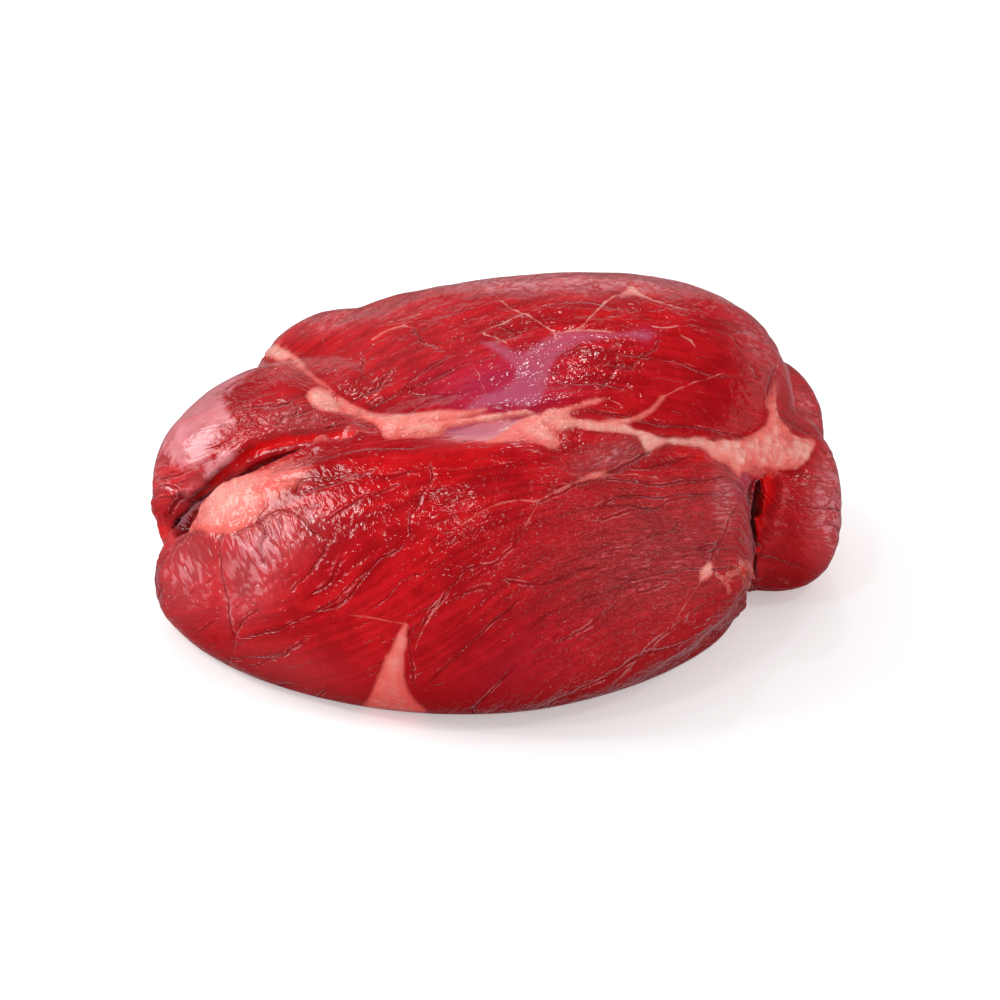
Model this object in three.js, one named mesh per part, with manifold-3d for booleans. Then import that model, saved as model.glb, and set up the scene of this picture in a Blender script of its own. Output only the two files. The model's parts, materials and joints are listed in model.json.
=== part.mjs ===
// A raw beef round: a boneless roast of several muscles that lie against each other, standing on its
// flat underside. Millimetres, +Z up, the front faces -Y. The origin is the middle of the base.
import * as THREE from "three";
import { mergeVertices } from "three/addons/utils/BufferGeometryUtils.js";
import Module from "manifold-3d";

const wasm = await Module();
wasm.setup();

// A muscle is a rounded block. It has a middle, a reach from there to each of its six sides, the tilt of
// its axes in degrees about X, Y and Z, how far its left and right ends bow to the back, and how square
// it is seen from above (its front half and its back half) and from the side, where 2 is an ellipse.
// The big muscle at the front is fuller at its right end, so it is two blocks.
const FRONT_MUSCLE = {
  middle: [3, -32, 26], left: 123, right: 84, front: 63, back: 36, up: 67, down: 37,
  tilt: [0, -7, 0], bow: [22, 6], plan: [1.85, 1.85], side: 1.95,
};
const FRONT_RIGHT_MUSCLE = {
  middle: [43, -18, 33], left: 62, right: 50, front: 38.5, back: 50, up: 43, down: 46,
  tilt: [0, 0, 47], bow: [0, 0], plan: [2.2, 2.2], side: 2.8,
};
const TOP_MUSCLE = {
  middle: [18, 34, 44], left: 100, right: 89, front: 90, back: 67, up: 57, down: 60,
  tilt: [0, -4.5, 0], bow: [16, 10], plan: [2, 2.35], side: 2.5,
};
const LEFT_MUSCLE = {
  middle: [-72, 12, 29], left: 45, right: 72, front: 42, back: 52, up: 51, down: 40,
  tilt: [0, -22, -20], bow: [0, 0], plan: [2.3, 2.3], side: 2.6,
};
const BACK_LEFT_MUSCLE = {
  middle: [-46, 50, 46], left: 44, right: 40, front: 34, back: 44, up: 39, down: 60,
  tilt: [0, 0, 0], bow: [0, 0], plan: [2.4, 2.4], side: 2.4,
};
const BACK_MUSCLE = {
  middle: [22, 62, 34], left: 66, right: 52, front: 40, back: 42, up: 42, down: 46,
  tilt: [0, 12, -4], bow: [0, 0], plan: [2.3, 2.3], side: 2.3,
};
const RIGHT_MUSCLE = {
  middle: [97, 25, 29], left: 27, right: 24, front: 36, back: 34, up: 31, down: 30,
  tilt: [0, 0, 6], bow: [0, 0], plan: [2.6, 2.2], side: 2.4,
};
const BACK_RIGHT_MUSCLE = {
  middle: [88, 54, 38], left: 28, right: 30, front: 34, back: 32, up: 31, down: 60,
  tilt: [0, 0, 0], bow: [0, 0], plan: [2.2, 2.2], side: 2.2,
};

// The clefts are thin blocks too, and they are cut out: one parts the left muscle from the front one,
// the other parts the right muscle from it.
const LEFT_CLEFT = {
  middle: [-88, -18, 52], left: 46, right: 56, front: 3, back: 3, up: 30, down: 20,
  tilt: [12, -39, -21], bow: [0, 0], plan: [2.2, 2.2], side: 2.2,
};
const RIGHT_CLEFT = {
  middle: [89, -6, 47], left: 4, right: 4, front: 30, back: 34, up: 9, down: 40,
  tilt: [0, 4, 0], bow: [0, 0], plan: [2.2, 2.2], side: 2,
};

// The seam on the top, where the front muscle meets the others, from left to right.
const SEAM = [[-74, 41], [-61, -8], [-42, -36], [-16, -45], [15, -42], [36, -44], [63, -42], [84, -28], [105, 5]];
const SEAM_DEPTH = 2.5;
const SEAM_HALF_WIDTH = 7;
const SEAM_LOWEST = 45;
const SEAM_STEPS = 80;

// The front and top muscles have grown together into one body. The higher the blend, the tighter the
// valley between them. Every skin starts from a ball of 20 times (detail + 1) squared triangles.
const BODY_BLEND = 14;
const BODY_MIDDLE = [0, 0, 45];
const BODY_STRETCH = [120, 100, 60];
const BODY_DETAIL = 16;
const MUSCLE_DETAIL = 7;
const CLEFT_DETAIL = 7;
const FARTHEST_REACH = 200;
const HALVINGS = 30;

const UNDERSIDE_BOX = [600, 600, 200];

// How far a point lies out of a block: 0 on its surface, negative inside, 1 at twice its size.
function outOf({ middle, left, right, front, back, up, down, tilt, bow, plan, side }, point) {
  const angles = tilt.map(THREE.MathUtils.degToRad);
  const turned = new THREE.Quaternion().setFromEuler(new THREE.Euler(...angles, "ZYX")).invert();
  const p = point.clone().sub(new THREE.Vector3(...middle)).applyQuaternion(turned);
  const across = Math.abs(p.x) / (p.x > 0 ? right : left);
  const bent = p.y - (p.x > 0 ? bow[1] : bow[0]) * across ** 2;
  const along = Math.abs(bent) / (bent > 0 ? back : front);
  const high = Math.abs(p.z) / (p.z > 0 ? up : down);
  const square = bent > 0 ? plan[1] : plan[0];
  return ((across ** square + along ** square) ** (side / square) + high ** side) ** (1 / side) - 1;
}

// Several blocks as one, with the valley between them filled softly.
function outOfAll(blocks, point) {
  const sum = blocks.reduce((total, block) => total + Math.exp(-BODY_BLEND * outOf(block, point)), 0);
  return -Math.log(sum) / BODY_BLEND;
}

// The distance from a middle to the surface in one direction.
function reachOf(blocks, middle, direction) {
  let near = 0;
  let far = FARTHEST_REACH;
  for (let i = 0; i < HALVINGS; i += 1) {
    const half = (near + far) / 2;
    const point = middle.clone().addScaledVector(direction, half);
    if (outOfAll(blocks, point) < 0) near = half;
    else far = half;
  }
  return near;
}

// A closed skin round the blocks, all of which can be seen from the middle. The ball that it starts from
// is stretched first, so that its triangles are spread evenly.
function skinOf(blocks, middle, stretch, detail) {
  const ball = new THREE.IcosahedronGeometry(1, detail);
  ball.deleteAttribute("normal");
  ball.deleteAttribute("uv");
  const skin = mergeVertices(ball);
  const place = skin.getAttribute("position");
  const centre = new THREE.Vector3(...middle);
  const spread = new THREE.Vector3(...stretch);
  for (let i = 0; i < place.count; i += 1) {
    const direction = new THREE.Vector3().fromBufferAttribute(place, i).multiply(spread).normalize();
    const point = centre.clone().addScaledVector(direction, reachOf(blocks, centre, direction));
    place.setXYZ(i, ...point);
  }
  return skin;
}

// Presses the seam into the top of a skin.
function pressSeam(skin) {
  const seam = new THREE.CatmullRomCurve3(SEAM.map(([x, y]) => new THREE.Vector3(x, y, 0)));
  const seamPoints = seam.getSpacedPoints(SEAM_STEPS);
  const place = skin.getAttribute("position");
  for (let i = 0; i < place.count; i += 1) {
    const point = new THREE.Vector3().fromBufferAttribute(place, i);
    if (point.z < SEAM_LOWEST) continue;
    const away = Math.min(...seamPoints.map((p) => Math.hypot(p.x - point.x, p.y - point.y)));
    const depth = SEAM_DEPTH * Math.exp(-((away / SEAM_HALF_WIDTH) ** 2));
    place.setZ(i, point.z - depth);
  }
  return skin;
}

// A closed geometry with shared vertices as a solid, and a solid as a geometry.
function solidOf(geometry) {
  const vertProperties = new Float32Array(geometry.getAttribute("position").array);
  const triVerts = new Uint32Array(geometry.index.array);
  return new wasm.Manifold(new wasm.Mesh({ numProp: 3, vertProperties, triVerts }));
}

function geometryOf(solid) {
  const { numProp, vertProperties, triVerts } = solid.getMesh();
  const geometry = new THREE.BufferGeometry();
  const place = new Float32Array((vertProperties.length / numProp) * 3);
  for (let i = 0; i < place.length / 3; i += 1) {
    place.set(vertProperties.subarray(i * numProp, i * numProp + 3), i * 3);
  }
  geometry.setAttribute("position", new THREE.BufferAttribute(place, 3));
  geometry.setIndex(new THREE.BufferAttribute(triVerts, 1));
  return geometry;
}

// The grown-together muscles in the middle.
function bodySolid() {
  const blocks = [FRONT_MUSCLE, FRONT_RIGHT_MUSCLE, TOP_MUSCLE];
  return solidOf(pressSeam(skinOf(blocks, BODY_MIDDLE, BODY_STRETCH, BODY_DETAIL)));
}

// One block alone.
function blockSolid(block, detail) {
  const { left, right, front, back, up, down } = block;
  return solidOf(skinOf([block], block.middle, [left + right, front + back, up + down], detail));
}

// All that is below the surface that the meat stands on, which flattens its underside.
function undersideSolid() {
  const box = new THREE.BoxGeometry(...UNDERSIDE_BOX).translate(0, 0, -UNDERSIDE_BOX[2] / 2);
  box.deleteAttribute("normal");
  box.deleteAttribute("uv");
  return solidOf(mergeVertices(box));
}

function beefRound() {
  let meat = bodySolid();
  for (const muscle of [LEFT_MUSCLE, BACK_LEFT_MUSCLE, BACK_MUSCLE, RIGHT_MUSCLE, BACK_RIGHT_MUSCLE]) {
    meat = meat.add(blockSolid(muscle, MUSCLE_DETAIL));
  }
  for (const cleft of [LEFT_CLEFT, RIGHT_CLEFT]) {
    meat = meat.subtract(blockSolid(cleft, CLEFT_DETAIL));
  }
  const geometry = geometryOf(meat.subtract(undersideSolid()));
  geometry.computeBoundingBox();
  const middle = geometry.boundingBox.getCenter(new THREE.Vector3());
  geometry.translate(-middle.x, -middle.y, 0);
  const wetMeat = new THREE.MeshStandardMaterial({ color: 0xa31621, roughness: 0.35, metalness: 0 });
  const mesh = new THREE.Mesh(geometry, wetMeat);
  mesh.name = "beef_round";
  return mesh;
}

const group = new THREE.Group();
group.add(beefRound());

export default group;
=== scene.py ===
"""A raw beef round: a boneless roast of several muscles, wet and freshly cut, on a pale floor.

The CAD solid gives its form. Here a copy of it gets the grain, the creases, the fat and the membranes.
"""
import json
import math

import bpy
import numpy as np
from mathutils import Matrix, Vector, noise
from mathutils.bvhtree import BVHTree

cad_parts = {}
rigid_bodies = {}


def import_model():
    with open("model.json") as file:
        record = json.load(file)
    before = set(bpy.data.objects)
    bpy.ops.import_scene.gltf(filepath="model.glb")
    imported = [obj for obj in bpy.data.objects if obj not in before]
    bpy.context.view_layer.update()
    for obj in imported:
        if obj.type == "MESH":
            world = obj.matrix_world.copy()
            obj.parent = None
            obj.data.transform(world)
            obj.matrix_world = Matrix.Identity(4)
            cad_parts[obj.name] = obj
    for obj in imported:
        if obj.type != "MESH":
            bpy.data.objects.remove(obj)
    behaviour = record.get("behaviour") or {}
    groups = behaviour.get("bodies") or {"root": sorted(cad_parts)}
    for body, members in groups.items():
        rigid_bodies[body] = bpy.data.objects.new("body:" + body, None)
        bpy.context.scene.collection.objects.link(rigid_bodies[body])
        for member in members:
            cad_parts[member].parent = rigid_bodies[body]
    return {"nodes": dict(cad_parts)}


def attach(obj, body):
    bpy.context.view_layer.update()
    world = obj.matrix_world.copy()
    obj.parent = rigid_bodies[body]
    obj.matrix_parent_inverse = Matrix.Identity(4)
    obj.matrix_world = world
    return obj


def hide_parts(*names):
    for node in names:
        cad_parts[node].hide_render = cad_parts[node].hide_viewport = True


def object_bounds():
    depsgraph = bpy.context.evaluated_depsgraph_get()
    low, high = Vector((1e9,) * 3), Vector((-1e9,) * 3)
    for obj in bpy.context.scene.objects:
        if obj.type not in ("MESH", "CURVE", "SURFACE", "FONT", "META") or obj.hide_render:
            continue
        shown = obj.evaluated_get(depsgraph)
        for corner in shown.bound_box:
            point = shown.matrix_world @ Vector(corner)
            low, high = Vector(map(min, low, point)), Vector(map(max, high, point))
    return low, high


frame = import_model()
cad_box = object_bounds()

bl_info = {
    "name": "Raw Beef Round",
    "version": (1, 0, 0),
    "blender": (4, 5, 0),
    "location": "View3D > Sidebar > Beef Round",
    "description": "Makes a raw beef round with fat, membranes and grain, and its studio",
    "category": "Add Mesh",
}

NODE = "beef_round"
MM = 0.001

# The camera looks along +Y at a point in the meat, which the photo shows at one pixel. The photo is
# 1000 pixels wide and high.
PHOTO_SIDE = 1000
SENSOR_MM = 36
AIM = Vector((-0.0003, -0.0047, 0.045))
AIM_PIXEL = (497, 490)
PIXELS_PER_MM = 2.88

# Parts of the meat, as outlines in the photo's pixels.
FRONT_MUSCLE = [
    (146, 580), (160, 556), (185, 528), (215, 498), (260, 472), (300, 459), (345, 445), (380, 438),
    (440, 435), (500, 438), (545, 446), (560, 462), (572, 478), (596, 474), (615, 466), (645, 449),
    (670, 444), (699, 446), (717, 461), (737, 477), (748, 510), (748, 560), (746, 610), (735, 660),
    (640, 740), (450, 740), (280, 720), (170, 660),
]
LEFT_MUSCLE = [
    (140, 590), (130, 480), (165, 420), (215, 370), (268, 352), (300, 378), (345, 415), (380, 437),
    (345, 446), (300, 460), (260, 473), (215, 500), (185, 530), (160, 558),
]
WEDGE_MUSCLE = [
    (558, 436), (574, 427), (600, 430), (628, 433), (640, 441), (645, 452), (628, 463), (604, 473),
    (590, 474), (572, 470), (560, 458),
]
RIGHT_LOBE = [
    (752, 580), (757, 545), (766, 515), (771, 490), (768, 470), (800, 462), (820, 445), (850, 450),
    (860, 520), (840, 570), (800, 610), (752, 615),
]
BACK_RIGHT_MUSCLE = [(772, 405), (772, 385), (785, 362), (810, 375), (850, 440), (812, 446), (790, 432), (780, 412)]

# Fat, as outlines in the photo's pixels.
FAT = {
    "seam at the left": [
        (262, 352), (272, 345), (286, 350), (300, 358), (308, 370), (320, 379), (338, 395), (352, 404),
        (372, 411), (400, 413), (426, 411), (450, 410), (470, 409), (486, 408), (478, 413), (455, 417),
        (430, 421), (446, 426), (441, 433), (424, 436), (405, 437), (386, 438), (382, 430), (372, 423),
        (356, 417), (345, 411), (338, 400), (326, 387), (310, 377), (299, 367), (288, 359), (270, 357),
    ],
    "glassy piece": [(306, 396), (312, 388), (324, 388), (334, 396), (338, 404), (344, 412), (332, 410), (318, 408)],
    "pale strip": [(420, 424), (455, 418), (490, 413), (520, 409), (534, 411), (520, 415), (490, 419), (458, 424), (430, 430)],
    "lobe": [(486, 441), (500, 434), (512, 424), (524, 417), (538, 414), (548, 420), (556, 432), (560, 444), (550, 447), (538, 441), (515, 439)],
    "upper branch": [
        (536, 418), (548, 410), (566, 407), (590, 401), (605, 398), (598, 402), (576, 409), (570, 414),
        (580, 420), (600, 421), (622, 418), (638, 414), (650, 408), (660, 398), (664, 400), (654, 410),
        (642, 418), (630, 422), (600, 425), (575, 427), (560, 430), (545, 428),
    ],
    "bright band": [
        (574, 426), (590, 423), (606, 422), (622, 423), (634, 428), (648, 431), (662, 437), (680, 439),
        (699, 438), (712, 441), (724, 439), (740, 439), (754, 434), (762, 429), (768, 424), (771, 412),
        (768, 403), (772, 392), (776, 384), (777, 396), (777, 408), (783, 420), (791, 432), (800, 437),
        (814, 441), (812, 452), (806, 460), (798, 468), (786, 468), (774, 470), (762, 466), (752, 467),
        (742, 472), (738, 478), (733, 472), (724, 464), (714, 458), (706, 450), (698, 446), (684, 444),
        (669, 444), (658, 448), (648, 450), (644, 446), (640, 439), (632, 434), (612, 431), (590, 429),
    ],
    "wedge at the bottom": [
        (406, 624), (407, 640), (404, 655), (404, 672), (408, 690), (418, 705), (422, 714), (362, 714),
        (368, 700), (378, 680), (386, 660), (394, 645), (401, 630),
    ],
    "under the small muscle": [(576, 481), (590, 473), (602, 471), (612, 474), (602, 477), (588, 479)],
    "pale chip": [(700, 576), (704, 565), (710, 562), (712, 568), (708, 577), (702, 580)],
    "patch in the cleft": [
        (186, 530), (192, 516), (203, 502), (219, 490), (238, 478), (256, 471), (272, 468), (268, 478),
        (258, 488), (264, 496), (262, 508), (250, 520), (236, 531), (216, 534), (202, 530),
    ],
    "top patch": [(620, 295), (625, 290), (632, 285), (636, 289), (643, 295), (634, 292), (626, 294)],
    "nodule": [(315, 441), (319, 437), (325, 437), (329, 441), (325, 444), (319, 444)],

}

# A thin membrane, as outlines in the photo's pixels.
SILVER_SKIN = {
    "on the top": [
        (478, 340), (505, 345), (520, 352), (540, 341), (560, 332), (590, 333), (616, 333), (640, 331),
        (652, 334), (648, 341), (620, 339), (598, 342), (574, 347), (558, 358), (550, 374), (545, 392),
        (538, 404), (524, 408), (505, 404), (482, 409), (462, 410), (480, 396), (508, 384), (514, 370),
        (500, 356),
    ],
    "in the seam": [(444, 434), (452, 425), (490, 419), (522, 414), (508, 424), (498, 434), (470, 438)],
}

# Pale lines of fat and tendon: their pixels, and how wide they are in millimetres.
VEINS = {
    "top line": ([(500, 300), (508, 305), (517, 311), (532, 318), (545, 326), (554, 331), (568, 331), (580, 328), (588, 319), (597, 309), (606, 301), (618, 294), (630, 289)], 0.5),
    "top line, right": ([(631, 289), (640, 292), (649, 298), (668, 305), (688, 309)], 0.4),
    "top branch": ([(521, 315), (502, 323), (482, 333), (494, 337), (506, 343)], 0.35),
    "top drop": ([(554, 331), (555, 338)], 0.4),
    "orange line": ([(556, 332), (575, 331), (595, 331), (612, 333)], 0.6),
    "inner thread": ([(474, 366), (479, 376), (485, 393)], 0.3),
    "low thread": ([(605, 397), (613, 401), (621, 405)], 0.3),
    "right thread": ([(661, 399), (672, 393), (689, 384), (706, 378), (722, 373)], 0.35),
    "left thread": ([(372, 339), (388, 330), (402, 326), (414, 327)], 0.5),
    "front seam": ([(604, 473), (588, 478), (570, 484), (556, 491), (540, 500), (518, 500), (500, 503), (480, 513), (462, 524)], 0.6),
    "front right seam": ([(604, 473), (622, 475), (640, 476), (656, 479)], 0.35),
    "front drop": ([(541, 501), (533, 513), (524, 528)], 0.5),

    "chip line": ([(702, 578), (694, 591), (686, 603), (678, 616)], 0.35),
    "left wing": ([(406, 624), (392, 622), (372, 618), (350, 616)], 0.45),
    "white stroke": ([(438, 602), (430, 617), (421, 634), (416, 648)], 0.4),
    "small stroke": ([(633, 666), (622, 677), (614, 683)], 0.4),
    "facet thread": ([(298, 410), (296, 418), (291, 430)], 0.3),
    "lip thread": ([(300, 441), (322, 438), (346, 435), (372, 432)], 0.5),
    "fray": ([(740, 561), (744, 566), (748, 573)], 2.2),
    "fray, low": ([(742, 582), (747, 584)], 1.8),
    "clear flap": ([(717, 574), (724, 579), (731, 573), (741, 572)], 1.4),
    "clear flap, right": ([(741, 572), (744, 581), (741, 590)], 1.0),
    "clear flap, low": ([(722, 580), (727, 586), (729, 594)], 0.8),
    "orange edge": ([(746, 592), (748, 602), (743, 612)], 1.4),
    "lobe scrap": ([(756, 609), (763, 606)], 1.6),
    "top stroke": ([(390, 322), (404, 318), (420, 314)], 0.4),
    "top stroke, right": ([(652, 326), (664, 328), (676, 327)], 0.5),
    "top stroke, far right": ([(682, 336), (690, 341), (694, 346)], 0.4),
}

# Creases: their pixels, how deep and how wide they are in millimetres.
CREASES = {
    "left": ([(225, 533), (220, 543), (221, 559), (224, 586), (229, 606), (231, 622), (234, 648)], 0.9, 0.7),
    "left branch": ([(234, 640), (243, 622), (256, 612)], 1.0, 0.8),
    "left upper": ([(260, 520), (265, 536), (261, 549), (264, 562)], 0.9, 0.7),
    "tip edge": ([(236, 534), (248, 528), (262, 518), (280, 511), (293, 513), (304, 522), (313, 531), (323, 538)], 0.8, 0.7),
    "tip edge, low": ([(326, 545), (322, 556), (315, 566), (305, 577), (292, 590)], 0.6, 0.7),
    "pit": ([(299, 481), (297, 486), (296, 491)], 1.8, 0.9),
    "low left": ([(307, 639), (294, 648), (281, 656), (264, 661), (248, 667)], 0.6, 0.7),
    "upper": ([(432, 468), (433, 476), (427, 488), (422, 493), (417, 508), (411, 516), (410, 532)], 1.1, 0.8),
    "long diagonal": ([(516, 544), (498, 561), (482, 566), (466, 570), (452, 585), (442, 599), (433, 609), (420, 632)], 0.5, 0.8),
    "middle": ([(508, 581), (524, 584), (541, 583), (560, 577), (576, 571), (591, 567)], 1.3, 0.9),
    "right middle": ([(613, 578), (634, 579)], 0.7, 0.6),
    "right star": ([(655, 537), (664, 534), (672, 531), (678, 524)], 1.0, 0.7),
    "under the fat": ([(648, 453), (640, 458), (630, 463), (613, 470), (604, 474)], 1.3, 0.8),
    "seam": ([(602, 476), (580, 483), (560, 492), (541, 502)], 0.9, 0.9),
    "right fold": ([(734, 508), (728, 522), (722, 536), (714, 553), (708, 566)], 0.8, 0.7),
    "low diagonal": ([(700, 606), (680, 622), (655, 640), (636, 662), (610, 690)], 0.5, 1.2),
    "top crack": ([(616, 364), (611, 374), (609, 380), (602, 387)], 1.1, 0.6),
    "top crack, right": ([(657, 344), (650, 350), (640, 357), (628, 368)], 0.8, 0.6),
    "rim crack": ([(751, 364), (755, 369), (758, 375)], 1.2, 0.8),
    "left top crack": ([(414, 328), (419, 338), (430, 343), (440, 349)], 0.9, 0.7),
    "left top crack, low": ([(362, 358), (362, 366), (364, 374)], 0.9, 0.7),
    "left top crack, mid": ([(390, 371), (382, 378), (378, 386)], 0.9, 0.7),
    "facet edge": ([(240, 410), (262, 406), (290, 404), (320, 406), (349, 409)], 0.9, 0.9),
    "facet cut": ([(276, 424), (284, 418), (296, 414), (298, 408)], 0.8, 0.6),
    "rim fold": ([(776, 366), (772, 378), (769, 392), (768, 404)], 1.6, 1.1),
    "bottom wedge": ([(409, 630), (411, 656), (414, 684)], 0.5, 0.7),
    "flap": ([(209, 489), (196, 493), (184, 497), (176, 503), (172, 512)], 1.4, 0.8),
    "flap, left": ([(158, 488), (168, 484), (178, 490), (182, 498)], 0.8, 0.7),
    "upper left fold": ([(306, 492), (326, 486), (348, 478), (372, 470)], 0.7, 0.7),
    "upper left fold, low": ([(330, 520), (350, 506), (374, 494), (396, 486)], 0.7, 0.7),
    "left diagonal": ([(318, 610), (340, 596), (362, 574), (380, 560), (400, 546)], 0.6, 0.7),
    "right diagonal": ([(560, 640), (590, 624), (616, 604), (640, 592), (664, 584)], 0.6, 0.7),
    "right upper": ([(600, 520), (626, 512), (652, 508), (676, 500), (700, 496)], 0.7, 0.7),
}

# The wall under the left muscle's lip, painted bright red as if lit, and the ragged hole at its end, painted dark as
# shade, in the photo's pixels.
LIP_WALL = [
    (194, 498), (212, 479), (232, 461), (252, 447), (275, 438), (300, 434), (330, 433), (352, 431), (352, 437),
    (330, 440), (300, 443), (275, 448), (257, 455), (240, 466), (222, 482), (203, 502),
]
HOLE = [(173, 537), (175, 521), (184, 513), (192, 504), (199, 500), (207, 502), (202, 509), (193, 521), (184, 532)]

# The slot at the right, whose mouth is painted dark as shade, and the rim of the right lobe beside it, painted bright
# red as if lit, in the photo's pixels.
SLOT_MOUTH = [
    (747, 486), (752, 479), (758, 479), (760, 490), (759, 502), (756, 518), (753, 538), (750, 560),
    (748, 556), (748, 530), (748, 508), (746, 496),
]
SLOT_RIM = [
    (763, 477), (771, 474), (776, 480), (777, 492), (774, 505), (770, 519), (767, 538), (761, 556), (755, 572),
    (751, 565), (755, 548), (758, 532), (760, 516), (762, 500), (763, 488),
]

# Where the skin is ragged, as soft ellipses like those of the tones below.
RAGGED = {
    "end of the left muscle": ((172, 514), (24, 30), 0, 1.0),
    "foot of the slot": ((749, 590), (10, 30), 0, 0.8),
    "lip": ((205, 492), (20, 10), -35, 0.6),
    "cleft patch": ((225, 500), (30, 16), -35, 0.3),
}

# Small loose bits that stand up from the skin: their outlines in the photo's pixels, and their heights in
# millimetres.
BITS = {
    "flap": ([(172, 497), (177, 490), (189, 484), (206, 481), (212, 487), (207, 495), (197, 499), (188, 497)], 1.2),
    "flap, low": ([(153, 500), (160, 486), (170, 482), (176, 494), (172, 510), (162, 520), (155, 514)], 1.0),
    "nodule": ([(314, 441), (318, 436), (326, 436), (330, 441), (325, 445), (318, 445)], 1.6),
    "bead": ([(762, 465), (765, 460), (772, 460), (776, 464), (773, 468), (765, 469)], 1.3),
    "fray": ([(738, 562), (743, 560), (748, 566), (750, 574), (746, 578), (741, 574)], 1.0),
    "fray, low": ([(741, 580), (746, 578), (749, 583), (746, 588), (742, 586)], 0.9),
    "clear flap": ([(718, 573), (724, 576), (731, 572), (740, 571), (744, 580), (742, 592), (733, 596), (726, 588)], 0.9),
    "orange edge": ([(744, 592), (749, 596), (748, 606), (742, 615), (738, 610), (742, 600)], 0.8),
    "lobe scrap": ([(755, 606), (760, 602), (764, 607), (761, 612), (756, 612)], 1.2),
}

# Tones, as soft ellipses: middle, reach across and down, turn in degrees, and how strong.
# The sheens are painted highlights of the wet skin, the shades are painted shade, and the glows are painted light,
# bright red where light seems to come through.
PAINTED_SHEENS = {
    "left flap": ((196, 484), (30, 14), -20, 0.4),
    "front tip": ((186, 572), (30, 40), 0, 0.5),
    "left rim": ((160, 462), (18, 60), 25, 0.4),
    "front upper left": ((262, 552), (50, 24), -35, 0.62),
    "front left low": ((250, 588), (34, 22), -45, 0.5),
    "bottom left": ((285, 668), (60, 22), 20, 0.16),
    "top left veil": ((390, 350), (110, 40), -12, 0.14),
    "right sheen": ((655, 555), (85, 50), -15, 0.35),
    "right sheen, low": ((640, 622), (100, 40), -35, 0.1),
    "right edge": ((724, 500), (16, 34), 0, 0.55),
    "top rim": ((565, 284), (190, 13), 0, 0.56),
    "top rim, left": ((350, 318), (90, 13), -10, 0.4),
    "top rim, right": ((752, 335), (16, 74), -28, 0.38),
    "wedge": ((612, 455), (34, 12), -15, 0.5),
    "right lobe": ((832, 505), (20, 58), 0, 0.6),
    "back right": ((806, 408), (26, 34), -20, 0.38),
    "facet": ((300, 420), (50, 18), 0, 0.4),
    "seam veil": ((500, 429), (44, 8), -6, 1.5),
}
# Painted shade: the muscle drawn darker in the clefts, the slot, low down and on the left muscle's top.
SHADES = {
    "left crackle": ((250, 392), (34, 16), -20, 0.55),
    "left top": ((300, 378), (34, 18), 20, 0.6),
    "facet": ((300, 424), (56, 16), 0, 0.3),
    "cleft": ((285, 463), (80, 5), -24, 0.2),
    "cleft hole": ((192, 520), (22, 20), -40, 1.0),
    "slot": ((752, 520), (12, 52), 0, 1.2),
    "low right": ((790, 592), (60, 34), -20, 1.1),
    "right lobe": ((796, 530), (30, 60), 0, 0.55),
    "bottom": ((500, 706), (260, 40), 0, 0.8),
    "bottom left": ((260, 670), (120, 40), 20, 0.6),
    "bottom right": ((660, 665), (110, 50), -32, 0.75),
    "back right slot": ((772, 388), (9, 22), 0, 0.9),
    "top right": ((720, 395), (60, 34), -20, 0.4),
}
GLOWS = {
    "front upper": ((420, 462), (130, 28), -6, 0.5),
    "top": ((640, 320), (110, 30), 5, 0.45),
    "front middle": ((400, 540), (110, 60), -20, 0.3),
    "right lip": ((764, 512), (7, 52), 8, 1.0),
    "top left": ((420, 360), (130, 50), -15, 0.35),
    "front top right": ((690, 455), (40, 9), 8, 0.7),
    "left bottom": ((165, 535), (12, 22), -20, 0.8),
    "left flap": ((190, 482), (30, 16), -25, 0.5),
    "below the wedge": ((600, 492), (60, 13), -4, 0.5),
}
CREAMS = {
    "bright band": ((650, 437), (84, 14), 8, 1.1),
    "left end": ((278, 352), (26, 12), 20, 1.1),
    "patch": ((214, 505), (30, 18), -35, 0.45),
    # Paler fat here is painted light, against the shade of the cleft over the patch.
    "patch, top": ((226, 486), (40, 9), -32, 0.8),
    "upper": ((400, 415), (60, 6), 0, 0.5),
    "pale strip": ((500, 416), (60, 8), -6, 0.8),
    "top": ((600, 310), (110, 40), 0, 1.0),
    "right bits": ((806, 455), (14, 20), 0, 0.8),
    "chip": ((706, 570), (10, 12), 0, 0.9),
    "glassy piece": ((322, 400), (18, 10), 25, 0.9),
}
MAGENTAS = {
    "beside the skin": ((496, 384), (50, 22), -12, 0.65),
    "end": ((645, 335), (8, 7), 0, 0.6),
    "low": ((505, 398), (50, 14), -8, 0.7),
    "slot top": ((745, 482), (8, 14), 0, 0.4),
    "front low": ((530, 655), (50, 24), -30, 0.12),
}

SALMONS = {
    "round the patch": ((250, 496), (60, 26), -28, 1.0),
    "patch, right": ((284, 478), (30, 14), -22, 1.0),
    "patch, far right": ((306, 462), (18, 8), -30, 0.3),
    "above the slot": ((752, 470), (26, 9), 10, 0.6),
    "round the bottom wedge": ((394, 668), (16, 42), 15, 0.4),
    "left end": ((283, 356), (30, 12), 30, 0.7),
    "seam": ((470, 420), (90, 12), 0, 0.6),
}
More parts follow.
